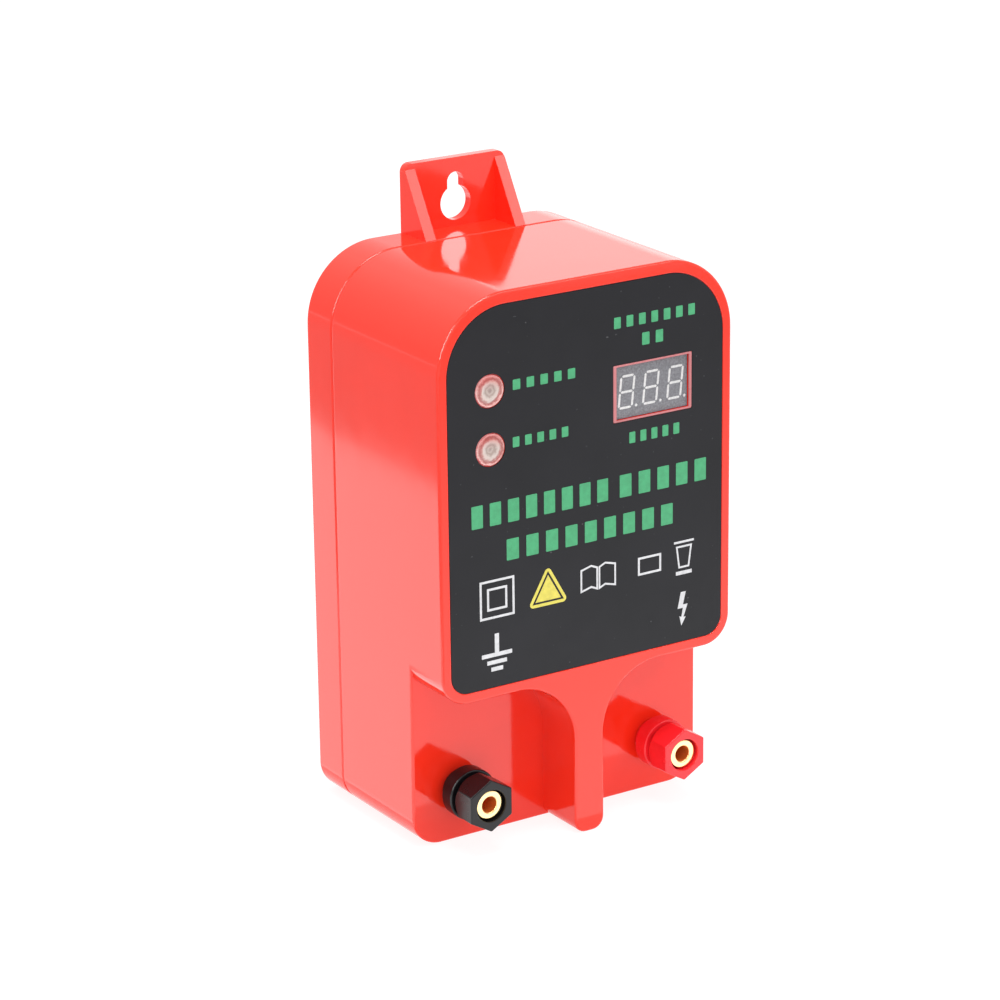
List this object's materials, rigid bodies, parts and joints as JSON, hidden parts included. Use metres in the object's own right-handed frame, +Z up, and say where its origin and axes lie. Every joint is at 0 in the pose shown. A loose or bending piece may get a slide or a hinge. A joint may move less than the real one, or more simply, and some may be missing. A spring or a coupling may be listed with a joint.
{
  "type": "electric fence energizer",
  "caption": "Wall-hung low-voltage fence energizer: tall rounded case, recessed face panel with lamps and a digital display, hex binding-post terminals in open bays, and a keyhole hanging tab.",
  "frame": {"origin": "middle of the bounding box seen from above, at the height of the case's underside", "axes": "+X to the right seen from the front, -Y out of the face, +Y towards the wall, +Z up towards the hanging tab"},
  "size_m": [0.09, 0.065, 0.1706],
  "materials": {
    "red_shell": "glossy moulded plastic with a fine polish",
    "face_label": "satin printed polycarbonate film",
    "lamp_lens": "clear cast epoxy over a pale reflector",
    "display_face": "smooth grey face with white segments",
    "red_knob": "glossy moulded plastic",
    "black_knob": "glossy moulded plastic",
    "terminal_brass": "turned and lightly polished",
    "nickel_plate": "satin nickel plate",
    "zinc_screw": "bright zinc plate",
    "seal_rubber": "matt moulded rubber",
    "jack_black": "fine moulded texture",
    "circuit_board": "green solder mask",
    "core_steel": "stacked laminations, varnished",
    "bobbin_nylon": "natural moulded nylon",
    "winding_copper": "enamelled copper wire",
    "capacitor_grey": "moulded box",
    "ferrite": "fired ferrite",
    "winding_tape": "polyester tape",
    "capacitor_sleeve": "shrunk sleeve",
    "heat_sink": "extruded",
    "component_black": "moulded epoxy",
    "resistor_tan": "lacquered",
    "red_wire": "extruded insulation",
    "black_wire": "extruded insulation"
  },
  "bodies": {
    "housing": {"front_housing": "red_shell", "rear_cover": "red_shell", "housing_seal": "seal_rubber", "cover_screw_1": "zinc_screw", "cover_screw_2": "zinc_screw", "cover_screw_3": "zinc_screw", "cover_screw_4": "zinc_screw", "front_label": "face_label", "power_lamp": "lamp_lens", "shock_lamp": "lamp_lens", "display_module": "display_face", "ground_terminal_post": "terminal_brass", "ground_terminal_collar": "black_knob", "ground_terminal_bush": "jack_black", "ground_terminal_lug": "nickel_plate", "ground_terminal_nut": "nickel_plate", "fence_terminal_post": "terminal_brass", "fence_terminal_collar": "red_knob", "fence_terminal_bush": "jack_black", "fence_terminal_lug": "nickel_plate", "fence_terminal_nut": "nickel_plate", "supply_jack_body": "jack_black", "supply_jack_nut": "nickel_plate", "supply_jack_pin": "nickel_plate", "supply_jack_sleeve_tag": "nickel_plate", "main_board": "circuit_board", "board_screw_1": "zinc_screw", "board_screw_2": "zinc_screw", "board_screw_3": "zinc_screw", "board_screw_4": "zinc_screw", "pulse_transformer_core": "core_steel", "pulse_transformer_bobbin": "bobbin_nylon", "pulse_transformer_winding": "winding_copper", "pulse_transformer_frame": "zinc_screw", "storage_capacitor": "capacitor_grey", "converter_transformer_core": "ferrite", "converter_transformer_winding": "winding_tape", "discharge_thyristor": "component_black", "thyristor_heat_sink": "heat_sink", "supply_capacitor": "capacitor_sleeve", "controller_chip": "component_black", "charging_diode_1": "component_black", "charging_diode_2": "component_black", "bleed_resistor_1": "resistor_tan", "bleed_resistor_2": "resistor_tan", "ground_lead": "black_wire", "fence_lead": "red_wire", "supply_lead_positive": "red_wire", "supply_lead_negative": "black_wire"},
    "ground_insert": {"ground_knob_insert": "terminal_brass"},
    "ground_knob": {"ground_terminal_knob": "black_knob"},
    "fence_insert": {"fence_knob_insert": "terminal_brass"},
    "fence_knob": {"fence_terminal_knob": "red_knob"}
  },
  "joints": [
    {"name": "ground_knob_travel", "type": "slide", "parent": "housing", "child": "ground_insert", "axis": [0, -1, 0], "range_m": [0, 0.004]},
    {"name": "ground_knob_turn", "type": "hinge", "parent": "ground_insert", "child": "ground_knob", "pos_m": [-0.0307, -0.027, 0.0145], "axis": [0, -1, 0], "range_deg": [0, 1800]},
    {"name": "fence_knob_travel", "type": "slide", "parent": "housing", "child": "fence_insert", "axis": [0, -1, 0], "range_m": [0, 0.004]},
    {"name": "fence_knob_turn", "type": "hinge", "parent": "fence_insert", "child": "fence_knob", "pos_m": [0.0307, -0.027, 0.0145], "axis": [0, -1, 0], "range_deg": [0, 1800]}
  ],
  "couplings": [
    {"joint": "ground_knob_turn", "follows": "ground_knob_travel", "rad_per_m": 7854},
    {"joint": "fence_knob_turn", "follows": "fence_knob_travel", "rad_per_m": 7854}
  ]
}
